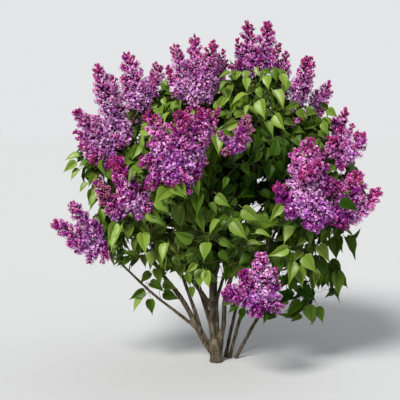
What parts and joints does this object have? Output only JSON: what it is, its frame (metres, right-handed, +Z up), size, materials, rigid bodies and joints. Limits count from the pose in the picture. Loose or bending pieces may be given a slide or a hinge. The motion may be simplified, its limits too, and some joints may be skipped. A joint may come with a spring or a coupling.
{
  "type": "lilac bush",
  "caption": "Multi-stemmed lilac bush in full bloom: short forked trunk with suckers, rounded leafy crown, and upright purple flower trusses, rooted in level ground.",
  "frame": {"origin": "middle of the flat cut under the trunk, at ground level", "axes": "+Z up along the plant, +X to the right and +Y away from the viewer when the bush is seen from its front"},
  "size_m": [1.45, 1.2197, 1.605],
  "materials": {
    "bark": "matt grey-brown bark with fine lengthwise cracks",
    "foliage": "smooth heart-shaped green leaves with a soft sheen",
    "blossom": "matt purple florets and darker buds"
  },
  "bodies": {
    "root": {"blossom_back_1": "blossom", "blossom_back_2": "blossom", "blossom_back_3": "blossom", "blossom_back_4": "blossom", "blossom_back_5": "blossom", "blossom_back_6": "blossom", "blossom_back_7": "blossom", "blossom_back_8": "blossom", "blossom_centre": "blossom", "blossom_front_low": "blossom", "blossom_front_small": "blossom", "blossom_left_faded": "blossom", "blossom_left_front": "blossom", "blossom_left_low": "blossom", "blossom_left_shoulder": "blossom", "blossom_left_top": "blossom", "blossom_right_front": "blossom", "blossom_right_outer": "blossom", "blossom_right_outer_top": "blossom", "blossom_right_shoulder": "blossom", "blossom_right_small": "blossom", "blossom_right_top": "blossom", "blossom_small_top": "blossom", "blossom_top_centre": "blossom", "blossom_top_right": "blossom", "blossom_upper_left": "blossom", "bough_centre_left": "bark", "bough_front_low": "bark", "bough_left_inner": "bark", "bough_left_low": "bark", "bough_left_middle": "bark", "foliage_back_left": "foliage", "foliage_back_low": "foliage", "foliage_back_middle": "foliage", "foliage_back_right": "foliage", "foliage_back_top": "foliage", "foliage_front": "foliage", "foliage_front_left": "foliage", "foliage_front_low": "foliage", "foliage_heart": "foliage", "foliage_left_lower": "foliage", "foliage_left_upper": "foliage", "foliage_low_centre": "foliage", "foliage_right_lower": "foliage", "foliage_right_middle": "foliage", "foliage_right_outer": "foliage", "foliage_right_upper": "foliage", "foliage_top": "foliage", "foliage_top_left": "foliage", "stem_back_left": "bark", "stem_back_right": "bark", "stem_centre": "bark", "stem_centre_right": "bark", "stem_left_fork": "bark", "stem_right": "bark", "sucker_back": "bark", "sucker_near": "bark", "sucker_outer": "bark", "trunk": "bark"}
  },
  "joints": []
}
